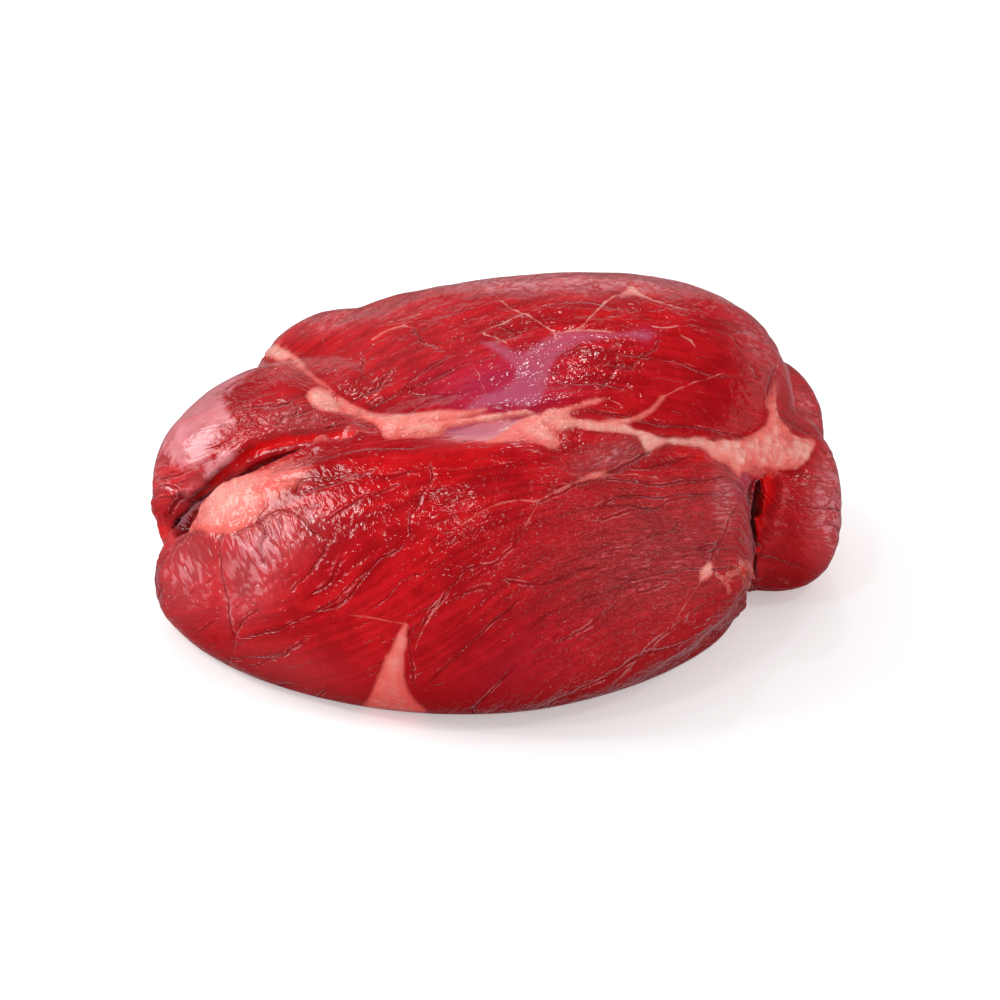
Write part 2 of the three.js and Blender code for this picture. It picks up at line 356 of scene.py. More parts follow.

# Where small wrinkles cover the muscle, and where painted glints dot the wet skin.
LEATHERS = {
    "front right": ((640, 565), (120, 80), -15, 1.0),
    "front upper left": ((292, 545), (62, 46), -30, 0.5),
    "tip": ((190, 580), (40, 50), 0, 0.4),
    "low right": ((600, 650), (130, 44), -25, 0.7),
    "wedge": ((612, 455), (40, 20), -10, 0.8),
    "left crackle": ((236, 414), (26, 28), -20, 0.9),
    "facet": ((300, 420), (56, 22), 0, 0.5),
    "right lobe": ((810, 520), (50, 70), 0, 0.25),
    "top": ((600, 330), (260, 70), -6, 0.1),
    "top left": ((400, 350), (110, 50), -15, 0.2),
}
PAINTED_GLINTS = {
    "front upper left": ((330, 490), (80, 40), -25, 0.75),
    "tip": ((200, 570), (50, 50), 0, 0.5),
    "cleft patch": ((240, 500), (60, 40), -35, 0.5),
    "left muscle": ((220, 420), (60, 50), -30, 0.45),
    "left top": ((275, 380), (50, 30), 0, 0.5),
    "top left": ((380, 380), (90, 26), 10, 0.6),
    "top front": ((460, 400), (120, 14), 0, 0.5),
    "skin end": ((535, 395), (20, 24), 0, 0.9),
    "front right": ((600, 470), (60, 24), 0, 0.5),
}

# A painted highlight on the left muscle, smooth and pale, as an outline in the photo's pixels. The relief is smoother
# under it.
PAINTED_GLOSS = {
    "left muscle": [
        (164, 452), (162, 436), (172, 414), (194, 388), (220, 368), (250, 358), (262, 364), (248, 374),
        (232, 386), (222, 397), (226, 408), (232, 420), (230, 427), (222, 433), (214, 440), (208, 448),
        (204, 458), (196, 466), (186, 467), (174, 462),
    ],
    "left muscle, low": [(204, 472), (212, 462), (224, 456), (236, 450), (232, 460), (220, 470), (208, 478)],
}

# Fat and membrane where the photo doesn't show the meat. Their places are degrees round the meat, from 0 at
# the right over 90 at the back to 180 at the left, and heights in millimetres.
FAR_BANDS = {
    "long": ([(18, 34), (34, 44), (52, 54), (70, 56), (88, 50), (104, 44), (122, 46), (138, 56), (150, 64)], 2.6),
    "low": ([(60, 8), (68, 20), (76, 30), (84, 40), (88, 50)], 2.4),
    "branch": ([(104, 44), (112, 34), (124, 26), (134, 22), (146, 14)], 1.8),
    "end": ([(150, 10), (158, 22), (170, 30), (184, 34)], 2.2),
    "thread": ([(30, 14), (40, 24), (50, 30), (60, 32)], 0.8),
    "high thread": ([(96, 72), (104, 64), (110, 56), (116, 47)], 0.7),
}
FAR_SILVER = {
    "back": [(92, 78), (104, 74), (116, 70), (128, 72), (134, 66), (126, 58), (114, 54), (102, 56), (94, 64)],
    "right": [(14, 22), (24, 28), (36, 26), (46, 34), (42, 42), (30, 44), (18, 38), (10, 30)],
    "left": [(164, 40), (176, 46), (190, 50), (196, 42), (186, 34), (172, 32)],
}
MM_PER_DEGREE = 1.8

NODE_MESH = "beef_round_skin"

# Small lights that glint on the wet skin, and dim cards that its edges reflect, in metres.
GLINT_LIGHTS = {
    "front_glint": (-0.55, -0.75, 1.5),
    "left_glint": (-1.2, -0.2, 1.1),
    "back_glint": (0.1, 1.1, 1.5),
    "right_glint": (0.8, -0.5, 1.2),
}
RIM_CARDS = {
    "left_card": (-2.2, 1.1, 0.5),
    "right_card": (2.2, 1.1, 0.5),
    "back_card": (0.0, 3.2, 0.6),
}


class BeefSettings(bpy.types.PropertyGroup):
    """Sizes and colours of the meat"""

    voxel: bpy.props.FloatProperty(
        name="Voxel", description="Edge length of the skin's faces", default=1.06 * MM, unit="LENGTH")
    most_faces: bpy.props.IntProperty(
        name="Most Faces", description="How many triangles the skin may have", default=190000)
    rounding: bpy.props.IntProperty(
        name="Rounding", description="How often the skin is smoothed before it gets its relief", default=26)
    grain_depth: bpy.props.FloatProperty(
        name="Grain Depth", description="Height of the ridges of the grain", default=0.5 * MM, unit="LENGTH")
    fold_depth: bpy.props.FloatProperty(
        name="Fold Depth", description="Depth of the folds between the bundles of fibres", default=0.6 * MM,
        unit="LENGTH")
    pleat_depth: bpy.props.FloatProperty(
        name="Pleat Depth", description="Height of the small wrinkles", default=0.9 * MM, unit="LENGTH")
    lump_depth: bpy.props.FloatProperty(
        name="Lump Depth", description="Height of the broad swells", default=0.7 * MM, unit="LENGTH")
    crease_scale: bpy.props.FloatProperty(
        name="Crease Scale", description="How deep the creases are, against their real depth", default=0.5)
    muscle: bpy.props.FloatVectorProperty(
        name="Muscle", description="Lean meat", default=(0.59, 0.007, 0.012), subtype="COLOR")
    # The deep colour is also what painted shade darkens the lean towards.
    deep: bpy.props.FloatVectorProperty(
        name="Deep Muscle", description="Lean meat where it is darkest", default=(0.36, 0.003, 0.006), subtype="COLOR")
    # The bright colour is painted light: red where light seems to come through thin muscle.
    glow: bpy.props.FloatVectorProperty(
        name="Bright Muscle", description="Thin lean edges", default=(0.74, 0.005, 0.007), subtype="COLOR")
    # The colour of painted sheen, a highlight on the wet lean.
    painted_sheen: bpy.props.FloatVectorProperty(
        name="Film", description="Wet film over lean meat", default=(0.80, 0.33, 0.36), subtype="COLOR")
    cream: bpy.props.FloatVectorProperty(
        name="Cream Fat", description="Pale fat", default=(0.95, 0.48, 0.40), subtype="COLOR")
    salmon: bpy.props.FloatVectorProperty(
        name="Salmon Fat", description="Fat with blood in it", default=(0.88, 0.17, 0.14), subtype="COLOR")
    silver: bpy.props.FloatVectorProperty(
        name="Silver Skin", description="Thin membrane over lean meat", default=(0.50, 0.10, 0.18), subtype="COLOR")


class StageSettings(bpy.types.PropertyGroup):
    """Camera, floor and lights"""

    elevation: bpy.props.FloatProperty(
        name="Elevation", description="Camera's height over the horizon", default=math.radians(27), subtype="ANGLE")
    distance: bpy.props.FloatProperty(
        name="Distance", description="Camera's distance from its aim", default=1.3, unit="LENGTH")
    lens: bpy.props.FloatProperty(name="Lens", description="Focal length in millimetres", default=134.784)
    floor_side: bpy.props.FloatProperty(name="Floor", description="Side of the floor", default=8.0, unit="LENGTH")
    left_light: bpy.props.FloatProperty(name="Left Light", description="Power in watts", default=14.0)
    back_light: bpy.props.FloatProperty(name="Back Light", description="Power in watts", default=7.0)
    right_light: bpy.props.FloatProperty(name="Right Light", description="Power in watts", default=4.0)
    glint_light: bpy.props.FloatProperty(name="Glint Lights", description="Power in watts", default=2.0)
    rim_light: bpy.props.FloatProperty(name="Rim Cards", description="Power in watts", default=1.8)
    sky: bpy.props.FloatProperty(name="Sky", description="Strength of the even light all round", default=0.6)


def deselect():
    bpy.ops.object.select_all(action="DESELECT")


def apply_modifier(piece, kind, **settings):
    """Adds a modifier to a piece and applies it."""
    bpy.context.view_layer.objects.active = piece
    modifier = piece.modifiers.new(kind.title(), kind)
    for name, value in settings.items():
        setattr(modifier, name, value)
    bpy.ops.object.modifier_apply(modifier=modifier.name)


def camera_axes():
    """Where the camera stands, and the directions that the photo shows as right, up and towards us."""
    stage = bpy.context.scene.beef_stage
    towards = Vector((0, -math.cos(stage.elevation), math.sin(stage.elevation)))
    right = Vector((1, 0, 0))
    return AIM + towards * stage.distance, right, towards.cross(right), towards


def on_photo(points):
    """Where the photo shows points in metres, as pixels across and down, and their depth in millimetres."""
    stage = bpy.context.scene.beef_stage
    _, right, up, towards = camera_axes()
    offset = points - np.array(AIM)
    nearness = offset @ np.array(towards)
    scale = stage.lens / SENSOR_MM * PHOTO_SIDE / (stage.distance - nearness)
    across = AIM_PIXEL[0] + scale * (offset @ np.array(right))
    down = AIM_PIXEL[1] - scale * (offset @ np.array(up))
    return np.stack([across, down], 1), -nearness / MM


def ramp(values, low, high):
    """0 below low, 1 above high, and a soft step between."""
    share = np.clip((values - low) / (high - low), 0, 1)
    return share * share * (3 - 2 * share)


def swell(places):
    """Soft noise from -1 to 1, with lumps about 1 across."""
    return np.array([noise.noise(place) for place in places.tolist()])


def cells(places):
    """How near each place is to the middle of its cell, from 1 there to 0, with cells about 1 across."""
    return np.array([1 - noise.voronoi(place)[0][0] for place in places.tolist()])


def fold_lines(places, size):
    """How far places are off the lines at which soft noise changes its sign, in millimetres, with a side."""
    step = 0.4
    here = swell(places / size)
    ahead = swell((places + (0, step, 0)) / size)
    slope = np.abs(ahead - here) / step
    return np.clip(here / np.maximum(slope, 0.25 / size[1]), -Sheet.FAR, Sheet.FAR)


def valley_depth(piece, points, normals, rounds=40):
    """How deep each point lies in a valley of the skin, in millimetres, and negative on a ridge."""
    edges = np.empty(len(piece.data.edges) * 2, np.int32)
    piece.data.edges.foreach_get("vertices", edges)
    first, second = edges.reshape(-1, 2).T
    count = np.bincount(first, minlength=len(points)) + np.bincount(second, minlength=len(points))
    soft = points.copy()
    for _ in range(rounds):
        for axis in range(3):
            value = soft[:, axis]
            total = np.bincount(first, value[second], len(points)) + np.bincount(second, value[first], len(points))
            soft[:, axis] = 0.5 * value + 0.5 * total / count
    return ((soft - points) * normals).sum(1) / MM


def unrolled(places):
    """Degrees round the meat and heights in millimetres, in the scale of the photo."""
    return np.array(places, float) * (MM_PER_DEGREE * PIXELS_PER_MM, PIXELS_PER_MM)


def far_sheet(points, hidden):
    """The sides and the back, unrolled."""
    turn = np.degrees(np.arctan2(points[:, 1], points[:, 0]))
    return Sheet(unrolled(np.stack([np.where(turn < -90, turn + 360, turn), points[:, 2] / MM], 1)), hidden)


def far_fat(points, sheet):
    """How deep the points are inside the far side's bands of fat, in millimetres."""
    rough = swell(points / (15 * MM) + 71) + 0.4 * swell(points / (5 * MM) + 73)
    best = np.full(len(points), -Sheet.FAR)
    for trail, width in FAR_BANDS.values():
        away, beyond, _ = sheet.off(unrolled(trail))
        tips = unrolled(trail)[[0, -1]]
        to_tip = np.linalg.norm(sheet.pixels[:, None] - tips, axis=2).min(1) / PIXELS_PER_MM
        taper = ramp(to_tip, -4, 24)
        best = np.maximum(best, width * taper * (0.9 + 1.3 * rough) - away - beyond)
    return best


def far_silver(points, sheet):
    """How deep the points are inside the far side's membranes, in millimetres."""
    rough = 4 * swell(points / (12 * MM) + 75)
    return np.max([sheet.depth_in(unrolled(outline)) for outline in FAR_SILVER.values()], axis=0) + rough - 1


def smooth_line(points, closed=False, steps=5):
    """A smooth line through points."""
    line = np.array(points, float)
    if closed:
        line = np.vstack([line[-1], line, line[:2]])
    else:
        line = np.vstack([2 * line[0] - line[1], line, 2 * line[-1] - line[-2]])
    before, start, end, after = line[:-3], line[1:-2], line[2:-1], line[3:]
    curve = []
    for share in np.arange(steps) / steps:
        square, cube = share ** 2, share ** 3
        curve.append((
            before * (2 * square - cube - share) + start * (3 * cube - 5 * square + 2)
            + end * (share + 4 * square - 3 * cube) + after * (cube - square)
        ) / 2)
    curve = np.stack(curve, 1).reshape(-1, 2)
    return curve if closed else np.vstack([curve, line[-2]])


def from_line(places, line, closed=False):
    """How far places are off a line, how far beyond its ends, and on which side: 1 left and -1 right of it."""
    starts = line if closed else line[:-1]
    ends = np.roll(line, -1, 0) if closed else line[1:]
    runs = ends - starts
    offset = places[:, None] - starts[None]
    share = (offset * runs).sum(2) / np.maximum((runs ** 2).sum(1), 1e-9)
    held = np.clip(share, 0, 1)
    away = np.linalg.norm(offset - held[..., None] * runs, axis=2)
    nearest = away.argmin(1)
    pick = (np.arange(len(places)), nearest)
    side = np.sign(runs[nearest, 0] * offset[pick][:, 1] - runs[nearest, 1] * offset[pick][:, 0])
    reach = np.linalg.norm(runs, axis=1)
    beyond = np.zeros(len(places))
    if not closed:
        first = nearest == 0
        last = nearest == len(runs) - 1
        beyond[first] = np.maximum(-share[pick][first], 0) * reach[0]
        beyond[last] = np.maximum(beyond[last], (share[pick][last] - 1) * reach[-1])
    return away[pick], np.maximum(beyond, 0), side


def inside_outline(places, line):
    """True for places inside a closed line."""
    x, y = places[:, :1], places[:, 1:]
    ends = np.roll(line, -1, 0)
    crosses = (line[:, 1] > y) != (ends[:, 1] > y)
    with np.errstate(divide="ignore", invalid="ignore"):
        where = (ends[:, 0] - line[:, 0]) * (y - line[:, 1]) / (ends[:, 1] - line[:, 1]) + line[:, 0]
    return (crosses & (x < where)).sum(1) % 2 == 1


class Sheet:
    """The skin's points as the photo shows them, on which outlines, lines and ellipses are laid."""

    FAR = 8.0

    def __init__(self, pixels, seen):
        self.pixels = pixels
        self.seen = seen

    def near(self, line, margin):
        low, high = line.min(0) - margin, line.max(0) + margin
        return np.nonzero(((self.pixels > low) & (self.pixels < high)).all(1) & (self.seen > 0))[0]

    def depth_in(self, outline):
        """How deep the points are inside an outline, in millimetres, and negative outside."""
        line = smooth_line(outline, closed=True)
        depth = np.full(len(self.pixels), -self.FAR)
        near = self.near(line, self.FAR * PIXELS_PER_MM)
        away, _, _ = from_line(self.pixels[near], line, closed=True)
        inside = inside_outline(self.pixels[near], line)
        depth[near] = np.maximum(np.where(inside, away, -away) / PIXELS_PER_MM, -self.FAR)
        return depth

    def depth_in_any(self, outlines):
        return np.max([self.depth_in(outline) for outline in outlines.values()], axis=0)

    def off(self, points):
        """How far the points are off a line in millimetres, with a side, and how far beyond its ends."""
        line = smooth_line(points)
        away = np.full(len(self.pixels), self.FAR)
        beyond = np.full(len(self.pixels), self.FAR)
        side = np.ones(len(self.pixels))
        near = self.near(line, self.FAR * PIXELS_PER_MM)
        distance, past, which = from_line(self.pixels[near], line)
        away[near] = np.minimum(distance / PIXELS_PER_MM, self.FAR)
        beyond[near] = past / PIXELS_PER_MM
        side[near] = which
        return away, beyond, side

    def tone(self, ellipses):
        """The strongest of some soft ellipses at each point."""
        best = np.zeros(len(self.pixels))
        for middle, reach, turn, strength in ellipses.values():
            angle = math.radians(turn)
            offset = self.pixels - middle
            along = offset[:, 0] * math.cos(angle) + offset[:, 1] * math.sin(angle)
            across = offset[:, 1] * math.cos(angle) - offset[:, 0] * math.sin(angle)
            size = (along / reach[0]) ** 2 + (across / reach[1]) ** 2
            best = np.maximum(best, strength * np.exp(-size * 0.7))
        return best * self.seen


def skin_of_node():
    """A copy of the CAD solid with even faces and no facets."""
    settings = bpy.context.scene.beef_round
    node = frame["nodes"][NODE]
    deselect()
    node.select_set(True)
    bpy.context.view_layer.objects.active = node
    bpy.ops.object.duplicate()
    piece = bpy.context.object
    bpy.ops.object.parent_clear(type="CLEAR_KEEP_TRANSFORM")
    piece.name = NODE_MESH
    for key in list(piece.keys()):
        del piece[key]
    piece.data.materials.clear()
    bpy.ops.object.mode_set(mode="EDIT")
    bpy.ops.mesh.select_all(action="SELECT")
    bpy.ops.mesh.remove_doubles(threshold=0.01 * MM)
    bpy.ops.object.mode_set(mode="OBJECT")
    voxel = settings.voxel * 1
    apply_modifier(piece, "REMESH", mode="VOXEL", voxel_size=voxel)
    apply_modifier(piece, "SMOOTH", factor=0.5, iterations=settings.rounding)
    thin_out(piece)
    return piece


def read_points(piece):
    mesh = piece.data
    points = np.empty(len(mesh.vertices) * 3)
    mesh.vertices.foreach_get("co", points)
    normals = np.empty(len(mesh.vertices) * 3)
    mesh.vertex_normals.foreach_get("vector", normals)
    return points.reshape(-1, 3), normals.reshape(-1, 3)


def write_points(piece, points):
    piece.data.vertices.foreach_set("co", points.ravel())
    piece.data.update()


def write_attribute(piece, name, kind, values):
    attribute = piece.data.attributes.new(name, kind, "POINT")
    key = {"FLOAT": "value", "FLOAT_VECTOR": "vector", "FLOAT_COLOR": "color"}[kind]
    attribute.data.foreach_set(key, np.asarray(values, np.float32).ravel())


def thin_out(piece):
    """Gives the flat underside and the far side fewer and larger faces."""
    settings = bpy.context.scene.beef_round
    points, normals = read_points(piece)
    rays = np.array(camera_axes()[0]) - points
    rays /= np.linalg.norm(rays, axis=1)[:, None]
    under = (points[:, 2] < 1 * MM) & (normals[:, 2] < -0.9)
    far = (rays * normals).sum(1) < -0.2
    group = piece.vertex_groups.new(name="coarse")
    group.add(np.nonzero(under)[0].tolist(), 1.0, "REPLACE")
    group.add(np.nonzero(far & ~under)[0].tolist(), 0.3, "REPLACE")
    faces = sum(len(face.vertices) - 2 for face in piece.data.polygons)
    share = min(1, settings.most_faces / faces)
    apply_modifier(piece, "DECIMATE", ratio=share, vertex_group=group.name, vertex_group_factor=10)
    piece.vertex_groups.clear()


def seen_by_camera(piece, points, normals):
    """How plainly the camera sees each point: 0 where it is turned away or hidden."""
    eye = np.array(camera_axes()[0])
    rays = eye - points
    rays /= np.linalg.norm(rays, axis=1)[:, None]
    facing = (rays * normals).sum(1)
    tree = BVHTree.FromObject(piece, bpy.context.evaluated_depsgraph_get())
    seen = ramp(facing, -0.12, 0.05)
    lift = 1.5 * MM
    for i in np.nonzero(seen > 0)[0]:
        start = points[i] + normals[i] * lift
        hit = tree.ray_cast(Vector(start), Vector(rays[i]))[0]
        if hit is not None and (hit - Vector(points[i])).length > 4 * MM:
            seen[i] = 0
    return seen


def fibre_places(pixels, depth, inside):
    """Along and across the fibres in millimetres, and the depth."""
    right = (pixels[:, 0] - PHOTO_SIDE / 2) / PIXELS_PER_MM
    up = (600 - pixels[:, 1]) / PIXELS_PER_MM
    places = np.stack([right, up + 0.0035 * (right - 26) ** 2 - 0.06 * right, depth * 0.35], 1)
    flat = 70 * np.tanh(right / 70)
    lean = 0.12 + 0.6 * ramp(-up, -52, 6)
    ways = {
        "front": np.stack([right + 0.5 * up, up - lean * flat, depth * 0.25], 1),
        "left": np.stack([right + 0.3 * up, up - 0.32 * right, depth * 0.25], 1),
        "lobe": np.stack([right, up + 0.2 * right, depth * 0.3], 1),
    }
    for name, way in ways.items():
        share = ramp(inside[name], -4, 4)[:, None]
        places = places * (1 - share) + way * share
    return places


def carve(piece):
    """Gives the skin its relief, and the attributes that its finish reads."""
    settings = bpy.context.scene.beef_round
    points, normals = read_points(piece)
    pixels, depth = on_photo(points)
    seen = seen_by_camera(piece, points, normals)
    sheet = Sheet(pixels, seen)
    inside = {
        "front": sheet.depth_in(FRONT_MUSCLE),
        "left": sheet.depth_in(LEFT_MUSCLE),
        "lobe": np.maximum(sheet.depth_in(RIGHT_LOBE), sheet.depth_in(BACK_RIGHT_MUSCLE)),
        "wedge": sheet.depth_in(WEDGE_MUSCLE),
    }
    places = fibre_places(pixels, depth, inside)
    front = ramp(inside["front"], -1, 2)
    left = ramp(inside["left"], -1, 2)
    lobe = ramp(inside["lobe"], -1, 2)
    top = 1 - np.maximum.reduce([front, left, lobe])

    valleys = valley_depth(piece, points, normals) + 0.25 * swell(points / (9 * MM) + 21)
    hidden = 1 - seen
    fat = np.maximum(sheet.depth_in_any(FAT), np.where(hidden > 0.5, 5 * (valleys - 0.55), -Sheet.FAR))
    behind = far_sheet(points, hidden)
    fat = np.maximum(fat, far_fat(points, behind) - Sheet.FAR * seen)
    skin = np.maximum(sheet.depth_in_any(SILVER_SKIN), far_silver(points, behind) - Sheet.FAR * seen)
    in_fat = ramp(fat, -0.6, 1.2)

    ridges = swell(places / (34, 4.6, 30)) + 0.4 * swell(places / (16, 2.1, 16) + 40)
    wrinkles = swell(places / (12, 3.4, 9) + 80) + 0.5 * swell(places / (5, 2.0, 4) + 120)
    lumps = swell(points / (24 * MM)) + 0.5 * swell(points / (11 * MM) + 7)
    lobules = cells(points / (3.6 * MM)) - 0.4
    pleats = np.abs(swell(places / (14, 4.2, 10) + 90)) + 0.6 * np.abs(swell(places / (7, 2.4, 6) + 95))
    painted_gloss = sheet.depth_in_any(PAINTED_GLOSS)
    rough = (1 - in_fat) * (1 - 0.7 * ramp(painted_gloss, -3, 1))
    height = settings.lump_depth * lumps
    height += settings.grain_depth * ridges * (0.6 * top + 0.5 * lobe + 0.3 * front) * rough
    leather = sheet.tone(LEATHERS)
    height += settings.grain_depth * wrinkles * (0.3 * leather + 0.2) * rough
    height += settings.pleat_depth * pleats * (leather + 0.15) * rough

    bent = places + np.outer(swell(points / (22 * MM) + 31), (0, 3.0, 0))
    bent += np.outer(swell(points / (8 * MM) + 33), (0, 0.7, 0))

    fold_off = fold_lines(bent, (95, 12, 60))
    top_off = fold_lines(bent, (90, 9, 50))
    fold_off = np.where(front > 0.5, fold_off, top_off)
    fold_strength = ramp(swell(places / (26, 14, 26) + 61), -0.3, 0.35) * (front + 0.5 * top + 0.5 * left + 0.5 * lobe)
    fold_strength *= rough
    bundle = ramp(np.abs(fold_off), 0, 3.2) - 1
    height += settings.fold_depth * bundle * fold_strength

    lip = np.maximum(sheet.depth_in(LIP_WALL), sheet.depth_in(SLOT_RIM))
    hole = sheet.depth_in(HOLE)
    mouth = sheet.depth_in(SLOT_MOUTH)
    for outline, tall in BITS.values():
        height += tall * MM * ramp(sheet.depth_in(outline), -0.4, 0.8)
    height += (1.3 * np.exp(-((lip + 1.8) / 1.5) ** 2) - 1.8 * ramp(lip, -0.5, 1.5)) * MM * seen
    height -= (5 * ramp(hole, -0.5, 2) + 2 * ramp(mouth, -0.5, 2)) * MM * seen
    height += 1.3 * MM * (swell(points / (4.2 * MM) + 23) + 0.6 * swell(points / (2 * MM) + 27)) * sheet.tone(RAGGED)
    lobed = ramp(pixels[:, 0], 690, 720) * in_fat * seen
    height += (0.5 * ramp(fat, 0, 3) + lobules * (0.5 + 2.2 * lobed)) * MM * in_fat
    height += 0.35 * MM * swell(points / (3.2 * MM) + 17) * in_fat
    height -= 0.35 * MM * np.exp(-((fat + 0.2) / 0.6) ** 2)
    height -= 0.4 * MM * np.exp(-((inside["wedge"] + 0.4) / 0.8) ** 2) * seen

    wander = 0.9 * swell(points / (6 * MM) + 3) + 0.5 * swell(points / (2.6 * MM) + 9)
    crack_off = np.full(len(points), Sheet.FAR)
    crack_strength = np.zeros(len(points))
    for trail, deep, wide in CREASES.values():
        away, beyond, side = sheet.off(trail)
        off = away * side + wander * np.exp(-away / 4)
        hold = np.exp(-(beyond / 1.5) ** 2) * seen
        width = wide * (1 + 0.4 * swell(points / (7 * MM) + len(trail)))
        notch = np.exp(-(off / width) ** 2)
        rim = np.exp(-((np.abs(off) - 2.3 * width) / width) ** 2)
        height += settings.crease_scale * deep * (0.15 * rim - notch) * MM * hold
        better = away < np.abs(crack_off)
        crack_off[better] = off[better]
        crack_strength[better] = (min(1, 0.3 + 0.5 * deep) * hold * np.exp(-(away / 3) ** 4))[better]

    vein_off = np.full(len(points), Sheet.FAR)
    vein_strength = np.zeros(len(points))
    for trail, wide in VEINS.values():
        away, beyond, side = sheet.off(trail)
        better = away < np.abs(vein_off)
        vein_off[better] = (away * side)[better]
        hold = np.exp(-(beyond / 0.8) ** 2) * np.exp(-(away / 3) ** 4) * seen
        vein_strength[better] = (wide * hold)[better]
        height -= 0.35 * MM * wide * np.exp(-(away / 0.8) ** 2) * hold

    rise = ramp(points[:, 2], 0.5 * MM, 7 * MM)
    inner = 0.2 * MM
    heights = points[:, 2] / MM
    points = points + normals * (height * rise)[:, None]
    points[:, 0] -= 2.6 * MM * np.exp(-((pixels[:, 0] - 766) / 7) ** 2) * ramp(pixels[:, 1], 470, 486) * ramp(
        pixels[:, 1], 585, 560) * seen * rise
    low, high = np.array(cad_box[0]) + inner, np.array(cad_box[1]) - inner
    low[2] = cad_box[0][2]
    write_points(piece, np.clip(points, low, high))

    # Painted shade: its ellipses, and darker towards the bottom, where less light falls.
    shade = sheet.tone(SHADES) + 0.55 * ramp(heights, 34, 4)
    # Painted sheen: its ellipses, soft patches of it on the far side, and more where the far side faces up.
    painted_sheen = sheet.tone(PAINTED_SHEENS) + 0.35 * hidden * ramp(swell(points / (30 * MM) + 51), 0.0, 0.6)
    painted_sheen += 0.4 * hidden * ramp(normals[:, 2], 0.2, 0.9)
    leather = np.maximum(leather, 0.25 * hidden)
    write_attribute(piece, "fibre", "FLOAT_VECTOR", places)
    write_attribute(piece, "fat", "FLOAT", fat)
    write_attribute(piece, "silver", "FLOAT", skin)
    # The hole and the slot's mouth, where the finish paints shade.
    dark = np.maximum(hole, mouth)
    write_attribute(piece, "crack", "FLOAT_VECTOR", np.stack([crack_off, crack_strength, dark], 1))
    write_attribute(piece, "vein", "FLOAT_VECTOR", np.stack([vein_off, vein_strength, lip], 1))
    write_attribute(piece, "fold", "FLOAT_VECTOR", np.stack([fold_off, fold_strength, painted_gloss], 1))
    tones = [painted_sheen, shade, sheet.tone(GLOWS), leather]
    write_attribute(piece, "tone", "FLOAT_COLOR", np.stack(tones, 1))
    cream = sheet.tone(CREAMS) + 1.2 * (lobules - 0.1) * lobed + 0.4 * hidden
    tints = [cream, sheet.tone(MAGENTAS), sheet.tone(SALMONS), sheet.tone(PAINTED_GLINTS)]
    write_attribute(piece, "tint", "FLOAT_COLOR", np.stack(tints, 1))


class Wire:
    """A node's output. Used in an expression, it adds the Math nodes for it."""

    def __init__(self, web, socket):
        self.web = web
        self.socket = socket

    def math(self, operation, *others):
        inputs = {i: other for i, other in enumerate(others)}
        return self.web.node("Math", {"operation": operation}, inputs)

    def __add__(self, other):
        return self.math("ADD", self, other)

    def __radd__(self, other):
        return self.math("ADD", other, self)

    def __sub__(self, other):
        return self.math("SUBTRACT", self, other)

    def __rsub__(self, other):
        return self.math("SUBTRACT", other, self)

    def __mul__(self, other):
        return self.math("MULTIPLY", self, other)

    def __rmul__(self, other):
        return self.math("MULTIPLY", other, self)

    def __truediv__(self, other):
        return self.math("DIVIDE", self, other)

    def __abs__(self):
        return self.math("ABSOLUTE", self)

    def step(self, low, high):
        """0 at low, 1 at high, and a soft step between. High may be the smaller one."""
        return self.web.node(
            "MapRange", {"interpolation_type": "SMOOTHSTEP"},
            {"Value": self, "From Min": low, "From Max": high, "To Min": 0.0, "To Max": 1.0})

    def most(self, other):
        return self.math("MAXIMUM", self, other)

    def least(self, other):
        return self.math("MINIMUM", self, other)


class Web:
    """A material's nodes, each made from its type, its settings and what goes into its sockets."""

    def __init__(self, material):
        material.use_nodes = True
        self.tree = material.node_tree
        self.tree.nodes.clear()

    def node(self, kind, settings=None, inputs=None, output=0):
        made = self.tree.nodes.new("ShaderNode" + kind)
        for name, value in (settings or {}).items():
            setattr(made, name, value)
        for name, value in (inputs or {}).items():
            if isinstance(value, Wire):
                self.tree.links.new(value.socket, made.inputs[name])
            else:
                made.inputs[name].default_value = value
        return Wire(self, made.outputs[output]) if made.outputs else None

    def attribute(self, name, output="Fac"):
        return self.node("Attribute", {"attribute_name": name}, output=output)

    def parts(self, name):
        """The numbers of a colour attribute, one by one."""
        made = self.tree.nodes.new("ShaderNodeAttribute")
        made.attribute_name = name
        split = self.tree.nodes.new("ShaderNodeSeparateColor")
        self.tree.links.new(made.outputs["Color"], split.inputs[0])
        return [Wire(self, socket) for socket in split.outputs] + [Wire(self, made.outputs["Alpha"])]

    def axes(self, name):
        """The numbers of a vector attribute, one by one."""
        split = self.node("SeparateXYZ", None, {0: self.attribute(name, "Vector")}).socket.node
        return [Wire(self, socket) for socket in split.outputs]

    def stretch(self, vector, scale):
        return self.node("VectorMath", {"operation": "MULTIPLY"}, {0: vector, 1: scale})

    def noise(self, vector, scale, detail=2.0, roughness=0.5, distortion=0.0):
        return self.node("TexNoise", None, {
            "Vector": vector, "Scale": scale, "Detail": detail, "Roughness": roughness,
            "Distortion": distortion})

    def edges(self, vector, scale):
        """The distance to the nearest edge between cells."""
        return self.node("TexVoronoi", {"feature": "DISTANCE_TO_EDGE"}, {"Vector": vector, "Scale": scale})

    def mix(self, below, above, share):
        return self.node(
            "Mix", {"data_type": "RGBA"}, {"Factor": share, 6: below, 7: above}, output=2)


def colour(value):
    return (*value, 1.0)


